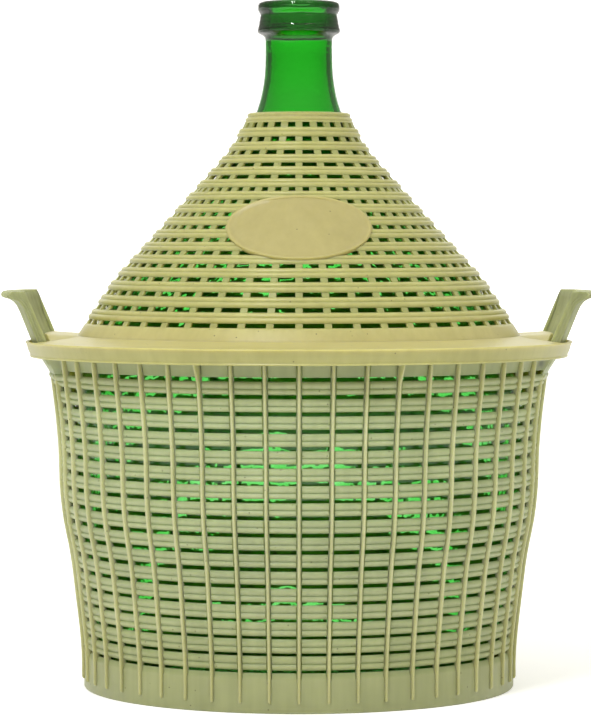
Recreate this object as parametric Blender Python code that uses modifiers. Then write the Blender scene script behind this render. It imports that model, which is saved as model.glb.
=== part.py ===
"""A twenty-litre demijohn: a green glass bottle in a two-piece slotted plastic basket.

Metres, +Z up. The origin is the middle of the basket's underside, -Y is the front with the oval
plate, and the two handles are on +X and -X. The basket's walls are turned shells with one flat
facet for each column of slots, so each slot is cut through a flat piece of wall. The real basket
has about twice as many slots both ways, and they are half as large.
"""

from math import asin, atan2, cos, hypot, pi, radians, sin

import bmesh
import bpy
from mathutils import Matrix, Vector

# Sizes that the three pieces share
COLUMNS = 24  # slot columns, and facets round each basket wall
FACET = 2 * pi / COLUMNS
SEAT_GAP = 0.0003  # what two touching pieces keep between them
FRONT = -pi / 2  # the direction of -Y
SLOT_DEPTH = 0.014  # of the boxes that cut the slots, more than any wall
SMOOTH_ANGLE = radians(35)  # edges sharper than this stay sharp in the shading
BOTTLE_TOP = 0.470
PLINTH_RADIUS = 0.1475  # of the basket's foot, from which the other radii follow

# Lower basket: the tub
TUB_WALL = 0.0025
FLOOR_THICKNESS = 0.003
PLINTH_HEIGHT = 0.0249  # plain wall below the slots
WALL_BENDS = ((2, 0.72), (4, 0.63), (7, 0.155))  # rows above each, share from foot to rim wall
RIM_HEIGHT = 0.2366  # top of the rim at the wall
RIM_WALL_RADIUS = PLINTH_RADIUS + 0.024
RIM_RADIUS = RIM_WALL_RADIUS + 0.0103  # outer edge of the rim
RIM_THICKNESS = 0.0022
TUB_SLOT_ROWS = 9
TUB_SLOT_HEIGHT = 0.0048
TUB_SLOT_SHARE = 0.82  # of a facet's width
TOP_BAND = 0.0169  # plain wall between the rim and the first row of slots

RIB_WIDTH = 0.0025
RIB_DEPTH = 0.002  # how far a rib stands out of the wall
RIB_FOOT = 0.0063  # height of the ribs' lower ends
GUSSET_HEIGHT = 0.023  # below the rim's top, where a gusset leaves its rib
GUSSET_ANGLE = 1.5 * FACET  # from the front and from the back
ROOT_HEIGHT = 0.0245  # below the rim's top, where the wall flares out to a handle
ROOT_REACH = 0.0115  # how far the flare stands out of the wall at the rim

# Lower basket: the handles
HANDLE_HALF_ANGLE = radians(16.3)
HANDLE_FACETS = 48  # facets of the full circle that a handle is cut from
HANDLE_HEIGHT = 0.0354  # above the rim's top at the wall
HANDLE_RADIUS = RIM_WALL_RADIUS + ROOT_REACH  # outer face at the rim, which carries the flare on
HANDLE_DEPTH = 0.0069  # from there in to the flanges' inner edge
HANDLE_LEAN = 0.0137  # how far a handle leans out from bottom to top
HANDLE_WALL = 0.0028
HANDLE_ROOT_DEPTH = 0.0013  # how far a handle reaches into the rim
GRIP_DEPTH = 0.0145  # the lip's reach from the flanges' inner edge
GRIP_THICKNESS = 0.005
HANDLE_FLANGE = 0.003  # thickness of the flange at each end of a handle
HANDLE_FLANGE_INSET = 0.0012  # from a handle's end to the middle of its flange

# Upper cover
COVER_WALL = 0.0022
COLLAR_RADIUS = 0.0345
COLLAR_TOP = BOTTLE_TOP - 0.076
CONE_FOOT_RADIUS = RIM_WALL_RADIUS - 0.0183
CONE_BENDS = ((1, -0.0041), (2, -0.0031), (6, 0.0048))  # rows above each, and how far it is out
FLANGE_RADIUS = RIM_RADIUS + 0.006
FLANGE_FALL = 0.004  # from the cone's foot to the flange's edge
SKIRT_HEIGHT = 0.0102
SKIRT_LEAN = 0.0038  # the skirt is this much narrower at its lower edge
CONE_SLOT_ROWS = 8
CONE_SLOT_HEIGHT = 0.0054
SPOKE_WIDTH = 0.005
SINGLE_ROWS = 3  # upper rows, where the real cone has as many spokes as this one
FIRST_CONE_SLOT = 0.012  # from the collar's top to the middle of the first row, along the slope
LAST_CONE_SLOT = 0.0108  # from the last row's middle to the flange
HANDLE_SLOT_PLAY = 0.0011  # between a handle and the slot's inner side
HANDLE_SLOT_BED = 0.0022  # height of the raised bed between the cone and each handle slot

PLATE_HALF_WIDTH = 0.050  # the oval plate, measured round the cone
PLATE_HALF_HEIGHT = 0.0285
PLATE_CENTRE = 0.1017  # along the outline from the collar's top
PLATE_PROUD = 0.0012
PLATE_SIDES = 24

# Glass bottle
BOTTLE_FACETS = 24
GLASS = 0.004
BEAD_RADIUS = 0.0279
BEAD_HEIGHT = 0.008
GROOVE_RADIUS = 0.0262
COLLAR_BAND_HEIGHT = 0.0135
NECK_RADIUS = 0.0228
NECK_FOOT = COLLAR_TOP + 0.026
NECK_RADIUS_AT_COVER = 0.0293  # where the cover's collar starts
SHOULDER_GAP = 0.0035  # between the glass and the inside of the cone
BODY_GAP = 0.004  # between the glass and the inside of the tub
BODY_TOP = RIM_HEIGHT - 0.0586  # where the shoulder's curve starts
SHOULDER_TOP = RIM_HEIGHT + 0.0294  # where the shoulder's curve meets the cone's slope
SHOULDER_STEPS = 3
HEEL_RADIUS = 0.028
HEEL_STEPS = 3
PUNT_HEIGHT = 0.012
PUNT_SHARE = 0.8  # of the foot's radius, where the bottom starts to rise

COLLECTION = bpy.data.collections.new("demijohn")
CUTTERS = bpy.data.collections.new("cutters")


def clear_scene():
    """Empties the file and links the two collections."""
    for thing in list(bpy.data.objects):
        bpy.data.objects.remove(thing, do_unlink=True)
    for collection in (COLLECTION, CUTTERS):
        bpy.context.scene.collection.children.link(collection)


def plastic(name, colour, roughness):
    """A moulded or blown material with one colour."""
    material = bpy.data.materials.new(name)
    material.use_nodes = True
    shader = material.node_tree.nodes["Principled BSDF"]
    shader.inputs["Base Color"].default_value = (*colour, 1)
    shader.inputs["Roughness"].default_value = roughness
    shader.inputs["Metallic"].default_value = 0
    return material


def between(points, height):
    """The radius at a height on an outline of (radius, height) points that runs downwards."""
    for (r0, z0), (r1, z1) in zip(points, points[1:]):
        if z1 <= height <= z0:
            return r0 + (r1 - r0) * (z0 - height) / (z0 - z1)
    raise ValueError(height)


def along(points, distance):
    """The point and the downward slope at a distance along an outline."""
    for (r0, z0), (r1, z1) in zip(points, points[1:]):
        run = hypot(r1 - r0, z1 - z0)
        if distance <= run:
            share = distance / run
            return r0 + (r1 - r0) * share, z0 + (z1 - z0) * share, atan2(r1 - r0, z0 - z1)
        distance -= run
    raise ValueError(distance)


def inward(points, thickness):
    """An outline moved inwards by a wall's thickness, square to each of its runs."""
    moved = []
    for i, (r, z) in enumerate(points):
        before = Vector(points[i]) - Vector(points[i - 1]) if i else None
        after = Vector(points[i + 1]) - Vector(points[i]) if i + 1 < len(points) else before
        before = before or after
        one, two = before.normalized(), after.normalized()
        # A downward run (dr, dz) has its material on the side (dz, -dr).
        square = (Vector((one.y, -one.x)) + Vector((two.y, -two.x))).normalized()
        reach = thickness / square.dot(Vector((one.y, -one.x)))
        moved.append((r + square.x * reach, z + square.y * reach))
    return moved


def turned(name, profile, facets, turn=0.0):
    """A closed profile of (radius, height) points turned round Z, with its first seam at an angle."""
    mesh = bpy.data.meshes.new(name)
    corners = [(r * cos(turn), r * sin(turn), z) for r, z in profile]
    edges = [(i - 1, i) for i in range(1, len(corners))] + [(len(corners) - 1, 0)]
    mesh.from_pydata(corners, edges, [])
    piece = bpy.data.objects.new(name, mesh)
    COLLECTION.objects.link(piece)
    screw = piece.modifiers.new("turn", "SCREW")
    screw.steps = facets
    screw.render_steps = facets
    screw.use_merge_vertices = True
    screw.merge_threshold = 0.00001
    return piece


def guide(piece):
    """Marks an object as a cutter, which is no part of the model."""
    for collection in list(piece.users_collection):
        collection.objects.unlink(piece)
    CUTTERS.objects.link(piece)
    piece.hide_render = True
    piece.display_type = "WIRE"
    return piece


def combine(piece, tool, operation):
    """Cuts, joins or trims a piece with another object."""
    modifier = piece.modifiers.new(tool.name, "BOOLEAN")
    modifier.operation = operation
    modifier.object = guide(tool)


def from_shape(name, shape):
    """Makes an object from a finished bmesh, which is freed."""
    mesh = bpy.data.meshes.new(name)
    shape.to_mesh(mesh)
    shape.free()
    piece = bpy.data.objects.new(name, mesh)
    COLLECTION.objects.link(piece)
    return piece


def blocks(name, placings):
    """One object of separate boxes. Each placing is (size, matrix)."""
    shape = bmesh.new()
    for size, matrix in placings:
        bmesh.ops.create_cube(shape, size=1, matrix=matrix @ Matrix.Diagonal((*size, 1)))
    return from_shape(name, shape)


def upright_plates(name, plates, thickness):
    """Flat outlines of (radius, height) points, stood upright in the planes at their angles."""
    shape = bmesh.new()
    for outline, angle in plates:
        curve = bpy.data.curves.new(name, "CURVE")
        curve.dimensions = "2D"
        curve.fill_mode = "BOTH"
        curve.extrude = thickness / 2
        spline = curve.splines.new("POLY")
        spline.points.add(len(outline) - 1)
        spline.use_cyclic_u = True
        for point, (r, z) in zip(spline.points, outline):
            point.co = (r, z, 0, 1)
        flat = bpy.data.objects.new(name, curve)
        flat.matrix_world = Matrix.Rotation(angle, 4, "Z") @ Matrix.Rotation(pi / 2, 4, "X")
        CUTTERS.objects.link(flat)
        bpy.context.view_layer.update()
        solid = bpy.data.meshes.new_from_object(flat.evaluated_get(bpy.context.evaluated_depsgraph_get()))
        solid.transform(flat.matrix_world)
        shape.from_mesh(solid)
        bpy.data.objects.remove(flat, do_unlink=True)
        bpy.data.meshes.remove(solid)
        bpy.data.curves.remove(curve)
    bmesh.ops.remove_doubles(shape, verts=shape.verts, dist=0.00001)
    bmesh.ops.recalc_face_normals(shape, faces=shape.faces)
    return from_shape(name, shape)


def sectors(name, half_angle, low, high):
    """Two wedges round +X and -X, which trim a ring to the handles' two sectors."""
    shape = bmesh.new()
    start = PLINTH_RADIUS / 3
    reach = 2 * FLANGE_RADIUS
    for side in (0, pi):
        arms = [side - half_angle, side, side + half_angle]
        ring = [(start * cos(a), start * sin(a)) for a in (arms[2], arms[0])]
        ring += [(reach * cos(a), reach * sin(a)) for a in arms]
        floor = [shape.verts.new((x, y, low)) for x, y in ring]
        face = shape.faces.new(floor)
        lifted = bmesh.ops.extrude_face_region(shape, geom=[face])["geom"]
        raised = [v for v in lifted if isinstance(v, bmesh.types.BMVert)]
        bmesh.ops.translate(shape, verts=raised, vec=(0, 0, high - low))
    bmesh.ops.recalc_face_normals(shape, faces=shape.faces)
    return from_shape(name, shape)


def facet_width(radius):
    """The width of one facet of a wall whose corners have this radius."""
    return 2 * radius * sin(FACET / 2)


def slot_row(radius, height, lean, width, tall, first, skip=lambda angle: False):
    """The boxes that cut one row of slots, one through the middle of each facet."""
    middle = radius * cos(FACET / 2)
    row = []
    for column in range(COLUMNS):
        angle = first + column * FACET
        if skip(angle):
            continue
        place = Matrix.Rotation(angle, 4, "Z") @ Matrix.Translation((middle, 0, height))
        row.append(((SLOT_DEPTH, width, tall), place @ Matrix.Rotation(lean, 4, "Y")))
    return row


def near_handle(angle, half_angle):
    """True where an angle lies within a handle's sector."""
    return abs(sin(angle)) < sin(half_angle)


def tub_row_height(row):
    """The height of a row of the tub's slots, counted from the top. Half a row is a band's middle."""
    first = RIM_HEIGHT - RIM_THICKNESS - TOP_BAND
    last = PLINTH_HEIGHT + TUB_SLOT_HEIGHT / 2
    return first + (last - first) * row / (TUB_SLOT_ROWS - 1)


def tub_outline():
    """The outside of the tub's wall, from the rim down to the floor. It bends between the rows."""
    flare = RIM_WALL_RADIUS - PLINTH_RADIUS
    bends = [(PLINTH_RADIUS + flare * share, tub_row_height(rows - 0.5)) for rows, share in WALL_BENDS]
    plinth = [(PLINTH_RADIUS, PLINTH_HEIGHT / 2), (PLINTH_RADIUS, 0.0)]
    return [(RIM_WALL_RADIUS, RIM_HEIGHT)] + bends + plinth


def rim_top(radius):
    """The height of the rim's sloping top, which lies parallel to the cover's flange."""
    return RIM_HEIGHT - (radius - RIM_WALL_RADIUS) * flange_slope()


def flange_slope():
    """How much the flange falls for each metre outwards."""
    return FLANGE_FALL / (FLANGE_RADIUS - CONE_FOOT_RADIUS)


def flange_top(radius):
    """The height of the flange's top. Its underside rests on the tub's rim."""
    return rim_top(radius) + SEAT_GAP + COVER_WALL


def lower_basket():
    """The tub with its ribs, gussets, slots and handles, as one moulding."""
    outside = tub_outline()
    inside = inward(outside[:-1], TUB_WALL)
    rim = [
        (inside[0][0], rim_top(inside[0][0])),
        (RIM_RADIUS, rim_top(RIM_RADIUS)),
        (RIM_RADIUS, rim_top(RIM_RADIUS) - RIM_THICKNESS),
        (RIM_WALL_RADIUS, RIM_HEIGHT - RIM_THICKNESS),
    ]
    inner_foot = (PLINTH_RADIUS - TUB_WALL, FLOOR_THICKNESS)
    profile = rim + outside[1:] + [(0, 0), (0, FLOOR_THICKNESS), inner_foot] + inside[:0:-1]
    tub = turned("lower_basket", profile, COLUMNS, FACET / 2)
    combine(tub, tub_slots(), "DIFFERENCE")
    combine(tub, ribs(), "UNION")
    combine(tub, handle_roots(), "UNION")
    combine(tub, handle_root_hollows(), "DIFFERENCE")
    combine(tub, handles(), "UNION")
    return tub


def ribs():
    """Upright ribs on the facets' corners. Four of them flare out into gussets under the rim."""
    sunk = TUB_WALL / 2
    outline = tub_outline()
    bends = [z for _, z in outline[-2:0:-1]]
    gusset_edge = RIM_RADIUS - SEAT_GAP
    gusset_top = rim_top(gusset_edge) - RIM_THICKNESS / 2
    plates = []
    for column in range(COLUMNS):
        angle = FRONT + (column + 0.5) * FACET
        flared = near_handle(angle, HANDLE_HALF_ANGLE)
        top = RIM_HEIGHT - (ROOT_HEIGHT if flared else RIM_THICKNESS / 2)
        heights = [RIB_FOOT] + bends + [top]
        outer = [(between(outline, z) + RIB_DEPTH, z) for z in heights]
        inner = [(between(outline, z) - sunk, z) for z in heights]
        if is_gusset(angle):
            foot = RIM_HEIGHT - GUSSET_HEIGHT
            outer[-1:] = [(between(outline, foot) + RIB_DEPTH, foot), (gusset_edge, gusset_top)]
        plates.append((outer + inner[::-1], angle))
    return upright_plates("ribs", plates, RIB_WIDTH)


def is_gusset(angle):
    """True for the four ribs, two in front and two behind, that carry the rim's edge."""
    return abs(abs(cos(angle)) - sin(GUSSET_ANGLE)) < FACET / 10


def handle_roots():
    """The flare of the wall under each handle."""
    sunk = TUB_WALL / 2
    low = RIM_HEIGHT - ROOT_HEIGHT
    top = RIM_HEIGHT - RIM_THICKNESS / 2
    wall_low, wall_top = between(tub_outline(), low), between(tub_outline(), top)
    edge = root_face(RIM_HEIGHT)
    profile = [
        (edge, rim_top(edge) - RIM_THICKNESS / 2),
        (root_face(low) + SEAT_GAP, low),
        (wall_low - sunk, low),
        (wall_top - sunk, rim_top(wall_top) - RIM_THICKNESS / 2),
    ]
    return in_handle_sectors("handle_roots", profile, HANDLE_HALF_ANGLE)


def root_face(height):
    """The radius of a flare's outer face."""
    rise = (height - RIM_HEIGHT) / ROOT_HEIGHT + 1
    return between(tub_outline(), height) + ROOT_REACH * rise


def handle_root_hollows():
    """The hollow behind each flare, open to the inside of the tub."""
    reach = 2 * TUB_WALL
    low = RIM_HEIGHT - ROOT_HEIGHT + 1.5 * TUB_WALL
    top = RIM_HEIGHT - RIM_THICKNESS
    wall_low, wall_top = between(tub_outline(), low), between(tub_outline(), top)
    edge = root_face(RIM_HEIGHT) - TUB_WALL
    profile = [
        (edge, rim_top(edge) - RIM_THICKNESS),
        (root_face(low) - TUB_WALL, low),
        (wall_low - reach, low),
        (wall_top - reach, rim_top(wall_top) - RIM_THICKNESS),
    ]
    return in_handle_sectors("handle_root_hollows", profile, HANDLE_HALF_ANGLE - TUB_WALL / RIM_RADIUS)


def in_handle_sectors(name, profile, half_angle, turn=FACET / 2):
    """A turned profile of which only the handles' two sectors are kept."""
    ring = turned(name, profile, COLUMNS, turn)
    heights = [z for _, z in profile]
    trim = sectors(name + "_sectors", half_angle, min(heights) - SLOT_DEPTH, max(heights) + SLOT_DEPTH)
    combine(ring, trim, "INTERSECT")
    return ring


def tub_slots():
    """The rows of slots through the tub's wall. The flares keep their wall."""
    outline = tub_outline()
    cuts = []
    for row in range(TUB_SLOT_ROWS):
        height = tub_row_height(row)
        radius = between(outline, height)
        flared = height > RIM_HEIGHT - ROOT_HEIGHT - TUB_SLOT_HEIGHT
        half = HANDLE_HALF_ANGLE if flared else 0.0
        width = facet_width(radius) * TUB_SLOT_SHARE

        def plain(angle, half=half):
            return near_handle(angle, half)

        cuts += slot_row(radius, height, 0.0, width, TUB_SLOT_HEIGHT, FRONT, plain)
    return blocks("tub_slots", cuts)


def handle_outer(height):
    """The radius of a handle's outer face, which leans outwards."""
    return HANDLE_RADIUS + HANDLE_LEAN * (height - RIM_HEIGHT) / HANDLE_HEIGHT


def handle_inner(height):
    """The radius of the inner edge of a handle's flanges and grip."""
    return handle_outer(height) - HANDLE_DEPTH


def handle_root():
    """The height where the handles start, inside the rim."""
    return rim_top(HANDLE_RADIUS) - HANDLE_ROOT_DEPTH


def handles():
    """Both handles: a leaning wall, a grip along its top and a flange inwards at each end."""
    top = RIM_HEIGHT + HANDLE_HEIGHT
    under_grip = top - GRIP_THICKNESS
    under_curve = under_grip - GRIP_THICKNESS
    lip = handle_inner(top) + GRIP_DEPTH
    root = handle_root()
    profile = [
        (handle_inner(top) + GRIP_THICKNESS / 3, top),
        (lip - GRIP_THICKNESS / 3, top),
        (lip, top - GRIP_THICKNESS / 2),
        (lip - GRIP_THICKNESS / 4, under_grip + GRIP_THICKNESS / 5),
        (handle_outer(under_grip) + GRIP_THICKNESS / 2, under_grip),
        (handle_outer(under_curve), under_curve),
        (handle_outer(root), root),
        (handle_outer(root) - HANDLE_WALL, root),
        (handle_outer(under_grip) - HANDLE_WALL, under_grip),
        (handle_inner(under_grip), under_grip),
        (handle_inner(top), top - GRIP_THICKNESS / 3),
    ]
    wall = turned("handles", profile, HANDLE_FACETS)
    combine(wall, handle_flanges(), "UNION")
    trim = sectors("handle_sectors", HANDLE_HALF_ANGLE, RIM_HEIGHT / 2, RIM_HEIGHT * 2)
    combine(wall, trim, "INTERSECT")
    return wall


def handle_flanges():
    """The flange that stiffens each end of a handle, between its wall and its inner edge."""
    top = RIM_HEIGHT + HANDLE_HEIGHT - GRIP_THICKNESS / 2
    root = handle_root()
    under_curve = RIM_HEIGHT + HANDLE_HEIGHT - 2 * GRIP_THICKNESS
    outline = [
        (handle_inner(top) + GRIP_DEPTH - GRIP_THICKNESS / 3, top),
        (handle_outer(under_curve) - HANDLE_WALL / 2, under_curve),
        (handle_outer(root) - HANDLE_WALL / 2, root),
        (handle_inner(root), root),
        (handle_inner(top) + HANDLE_WALL / 4, top),
    ]
    inset = HANDLE_HALF_ANGLE - asin(HANDLE_FLANGE_INSET / HANDLE_RADIUS)
    angles = [side + turn for side in (0, pi) for turn in (-inset, inset)]
    return upright_plates("handle_flanges", [(outline, a) for a in angles], HANDLE_FLANGE)


def cone_outline():
    """The outside of the cone, from the collar's top down to the flange.

    It bends between the rows, a little in or out from the straight line between its two ends.
    """
    start = Vector((COLLAR_RADIUS, COLLAR_TOP))
    end = Vector((CONE_FOOT_RADIUS, flange_top(CONE_FOOT_RADIUS)))
    way = (end - start).normalized()
    square = Vector((-way.y, way.x))
    bends = [start + way * cone_row_distance(rows - 0.5) + square * out for rows, out in CONE_BENDS]
    return [tuple(point) for point in [start] + bends + [end]]


def cone_row_distance(row):
    """How far a row of the cone's slots lies down the slope from the collar's top."""
    slope = hypot(CONE_FOOT_RADIUS - COLLAR_RADIUS, COLLAR_TOP - flange_top(CONE_FOOT_RADIUS))
    pitch = (slope - FIRST_CONE_SLOT - LAST_CONE_SLOT) / (CONE_SLOT_ROWS - 1)
    return FIRST_CONE_SLOT + pitch * row


def upper_cover():
    """The slotted cone with its flange, skirt, handle slots and oval plate, as one moulding."""
    outside = cone_outline()
    inside = inward(outside, COVER_WALL)
    skirt_top = flange_top(FLANGE_RADIUS)
    skirt_foot = skirt_top - SKIRT_HEIGHT
    inner_foot = inside[-1][0] + COVER_WALL / 2
    inner_edge = FLANGE_RADIUS - COVER_WALL
    profile = outside + [
        (FLANGE_RADIUS, skirt_top),
        (FLANGE_RADIUS - SKIRT_LEAN, skirt_foot),
        (FLANGE_RADIUS - SKIRT_LEAN - COVER_WALL, skirt_foot),
        (inner_edge, flange_top(inner_edge) - COVER_WALL),
        (inner_foot, flange_top(inner_foot) - COVER_WALL),
    ] + inside[-2::-1]
    cover = turned("upper_cover", profile, COLUMNS)
    combine(cover, cone_slots(), "DIFFERENCE")
    combine(cover, oval_plate(), "UNION")
    combine(cover, handle_slot_beds(), "UNION")
    combine(cover, handle_slots(), "DIFFERENCE")
    return cover


def cone_slots():
    """The rows of slots through the cone. Those wholly behind the oval plate are left out."""
    cuts = []
    outside = cone_outline()
    for row in range(CONE_SLOT_ROWS):
        distance = cone_row_distance(row)
        radius, height, lean = along(outside, distance)
        spoke = SPOKE_WIDTH if row < SINGLE_ROWS else 2 * SPOKE_WIDTH
        width = facet_width(radius) - spoke
        side = (distance - PLATE_CENTRE) / PLATE_HALF_HEIGHT

        def hidden(angle, radius=radius, width=width, side=side):
            away = abs((angle - FRONT + pi) % (2 * pi) - pi) * radius + width / 2
            return hypot(away / PLATE_HALF_WIDTH, side) < 1

        first = FRONT + FACET / 2
        cuts += slot_row(radius, height, -lean, width, CONE_SLOT_HEIGHT, first, hidden)
    return blocks("cone_slots", cuts)


def oval_plate():
    """The plain oval plate on the front, cut from a thicker cone that follows the wall."""
    outside = cone_outline()
    proud = inward(outside, -PLATE_PROUD)
    sunk = inward(outside, COVER_WALL / 2)
    thick = turned("oval_plate", proud[1:-1] + sunk[-2:0:-1], COLUMNS)
    radius, height, lean = along(outside, PLATE_CENTRE)
    place = (
        Matrix.Rotation(FRONT, 4, "Z")
        @ Matrix.Translation((radius, 0, height))
        @ Matrix.Rotation(pi / 2 - lean, 4, "Y")
        @ Matrix.Diagonal((PLATE_HALF_HEIGHT, plate_half_chord(radius), 1, 1))
    )
    shape = bmesh.new()
    bmesh.ops.create_cone(
        shape, cap_ends=True, segments=PLATE_SIDES, radius1=1, radius2=1,
        depth=2 * PLATE_HALF_HEIGHT, matrix=place,
    )
    combine(thick, from_shape("oval_outline", shape), "INTERSECT")
    return thick


def plate_half_chord(radius):
    """Half the plate's width seen straight on, from its width round the cone."""
    return radius * sin(PLATE_HALF_WIDTH / radius)


def handle_slot_range():
    """The inner and outer radius of the slots that the handles come up through."""
    return handle_inner(RIM_HEIGHT) - HANDLE_SLOT_PLAY, FLANGE_RADIUS - COVER_WALL


def handle_slots():
    """The cutter for the two curved slots in the flange."""
    low, high = handle_slot_range()
    floor = flange_top(high) - COVER_WALL - SEAT_GAP
    roof = flange_top(low) + 2 * HANDLE_SLOT_BED
    profile = [(high, roof), (high, floor), (low, floor), (low, roof)]
    half = HANDLE_HALF_ANGLE + HANDLE_SLOT_PLAY / low
    return in_handle_sectors("handle_slots", profile, half, turn=0.0)


def handle_slot_beds():
    """The raised bed between the cone's foot and each handle slot."""
    low, _ = handle_slot_range()
    outer = low + HANDLE_SLOT_PLAY
    inner = CONE_FOOT_RADIUS - COVER_WALL / 2
    top = flange_top(CONE_FOOT_RADIUS) + HANDLE_SLOT_BED
    sunk = COVER_WALL / 2
    profile = [(outer, top), (outer, flange_top(outer) - sunk), (inner, flange_top(inner) - sunk), (inner, top)]
    half = HANDLE_HALF_ANGLE + 2 * HANDLE_SLOT_PLAY / low
    return in_handle_sectors("handle_slot_beds", profile, half, turn=0.0)


def shoulder_outline():
    """The glass under the cone: the cone's inside, moved in by the gap, then a curve to the body.

    The curve is a parabola between the cone's slope and the body's upright wall, which its two
    ends touch. Its middle control point is where the two lines cross.
    """
    inset = inward(cone_outline(), COVER_WALL + SHOULDER_GAP)
    body = Vector((tub_inside(BODY_TOP) - BODY_GAP, BODY_TOP))
    start = Vector((between(inset, SHOULDER_TOP), SHOULDER_TOP))
    (r0, z0), (r1, z1) = inset[-2:]
    crossing = Vector((body.x, z0 + (body.x - r0) * (z1 - z0) / (r1 - r0)))
    curve = []
    for step in range(SHOULDER_STEPS + 1):
        t = step / SHOULDER_STEPS
        curve.append(tuple(start * (1 - t) ** 2 + crossing * 2 * t * (1 - t) + body * t * t))
    return inset[1:-1] + curve


def bottle_finish():
    """The outside of the glass from the lip down to the neck."""
    bead_foot = BOTTLE_TOP - BEAD_HEIGHT
    band_foot = bead_foot - COLLAR_BAND_HEIGHT
    chamfer = BEAD_HEIGHT / 5
    return [
        (BEAD_RADIUS - chamfer, BOTTLE_TOP),
        (BEAD_RADIUS, BOTTLE_TOP - chamfer),
        (BEAD_RADIUS, bead_foot + chamfer),
        (GROOVE_RADIUS, bead_foot),
        (BEAD_RADIUS, band_foot + chamfer),
        (NECK_RADIUS, band_foot - chamfer),
    ]


def bottle_body():
    """The outside of the glass from the neck's lower end to the ring that it stands on."""
    bends = [z for _, z in tub_outline()[1:-2] if z < BODY_TOP]
    seat = FLOOR_THICKNESS + SEAT_GAP
    heel_top = seat + HEEL_RADIUS
    centre = tub_inside(heel_top) - BODY_GAP - HEEL_RADIUS
    neck = [(NECK_RADIUS, NECK_FOOT), (NECK_RADIUS_AT_COVER, COLLAR_TOP)]
    sides = [(tub_inside(z) - BODY_GAP, z) for z in bends]
    heel = []
    for step in range(HEEL_STEPS + 1):
        turn = pi / 2 * step / HEEL_STEPS
        heel.append((centre + HEEL_RADIUS * cos(turn), heel_top - HEEL_RADIUS * sin(turn)))
    return neck + shoulder_outline() + sides + heel


def tub_inside(height):
    """The radius of the tub's inside at the middle of a facet."""
    return (between(tub_outline(), height) - TUB_WALL) * cos(FACET / 2)


def glass_bottle():
    """The bottle, blown with an even wall, a straight bore and a raised middle under its foot."""
    outside = bottle_finish() + bottle_body()
    lining = inward(outside, GLASS)[-2:len(bottle_finish()) - 1:-1]
    bore = NECK_RADIUS - GLASS
    foot, seat = outside[-1]
    rise = foot * PUNT_SHARE
    punt = [(rise, seat + PUNT_HEIGHT / 4), (0, seat + PUNT_HEIGHT)]
    inner_punt = [(r, z + GLASS) for r, z in punt[::-1]]
    mouth = [(bore, BOTTLE_TOP - GLASS / 4), (bore + GLASS / 4, BOTTLE_TOP)]
    profile = outside + punt + inner_punt + lining + mouth
    return turned("glass_bottle", profile, BOTTLE_FACETS, FACET / 2)


def finish(piece, material):
    """Gives a piece its material, and smooth shading where its faces meet at a small angle."""
    piece.data.materials.append(material)
    piece.data.shade_smooth()
    piece.data.set_sharp_from_angle(angle=SMOOTH_ANGLE)


def main():
    clear_scene()
    finish(lower_basket(), plastic("grey_beige_plastic", (0.38, 0.40, 0.22), 0.45))
    finish(upper_cover(), plastic("yellow_beige_plastic", (0.55, 0.48, 0.21), 0.45))
    finish(glass_bottle(), plastic("green_glass", (0.02, 0.33, 0.03), 0.05))


main()
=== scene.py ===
"""A twenty-litre demijohn: green glass in a slotted basket with a conical cover and two handles.

All sizes below are in millimetres and all angles in degrees, unless a comment says otherwise.
+Z is up, the origin is under the middle of the basket, the front is on -Y and the handles are on
+X and -X.
"""

import bmesh
import bpy
import numpy as np
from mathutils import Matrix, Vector


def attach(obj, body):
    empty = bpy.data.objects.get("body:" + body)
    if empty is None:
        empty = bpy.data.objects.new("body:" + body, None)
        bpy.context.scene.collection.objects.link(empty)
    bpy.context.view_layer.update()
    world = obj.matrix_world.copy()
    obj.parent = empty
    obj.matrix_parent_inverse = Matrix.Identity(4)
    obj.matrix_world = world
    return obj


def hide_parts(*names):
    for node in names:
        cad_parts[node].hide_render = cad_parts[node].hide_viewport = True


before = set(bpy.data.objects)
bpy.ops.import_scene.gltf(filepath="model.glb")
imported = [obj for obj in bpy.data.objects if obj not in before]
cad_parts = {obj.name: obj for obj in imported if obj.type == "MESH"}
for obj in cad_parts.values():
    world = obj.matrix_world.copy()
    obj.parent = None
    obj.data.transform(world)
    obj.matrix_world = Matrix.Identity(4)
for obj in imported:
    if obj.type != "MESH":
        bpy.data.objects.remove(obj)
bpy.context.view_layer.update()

MM = 0.001  # metres in a millimetre
ROUND = np.arange(240) * 1.5  # where the columns of a finely divided round piece stand
SHARP_ANGLE = 40  # edges that bend by more are drawn sharp

# Tub: the lower basket's wall, as (height, radius) points from the foot up
TUB_LINE = (
    (0, 148.0), (23, 148.1), (64, 152.2), (93, 155.9), (118, 160.7),
    (136, 162.7), (166, 163.8), (188, 165.7), (213, 168.8), (237, 171.6),
)
TUB_TOP = 234.0
TUB_WALL = 2.5
TUB_FLOOR = 3.0
FLOOR_EDGE = 145.4
PLINTH_TOP = 23.6
PLINTH_LINE = (  # (height, relief, share of painted shade and dirt) down the plinth
    (PLINTH_TOP - 0.4, -0.2, 0.3), (PLINTH_TOP - 1.5, 0, 0), (12.0, 0, 0), (1.0, 0, 0),
    (0.0, -0.8, 0),
)
TOP_BAND_FOOT = 227.0
TOP_BAND_RELIEF = -0.3
RIBS = 48
TUB_ROWS = 18
TUB_FIRST_ROW = 217.6
TUB_LAST_ROW = 27.3
TUB_SLOTS = (1.9, 2.7)  # heights of the slots low down and higher up
SLOT_CHANGE = (60, 95)  # between these heights the one grows into the other
SLOT_SHADE_AND_DIRT = 0.8  # share of painted shade and dirt at a slot's edges
# share of painted shade and dirt on the recessed strip behind each rib
STRIP_SHADE_AND_DIRT = 0.5
STRIP_HALF = 0.56  # degrees from a rib's middle to the slot's end
BEAD_START = 0.76  # degrees from a rib's middle to where the bands have their full height
BEAD_COLUMNS = (2.82, 4.68)  # degrees from a rib's middle to the columns along the bands
BEAD_DEPTH = 1.4
GROOVE = 0.565  # where the groove lies between a band's upper and lower edge
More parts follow.
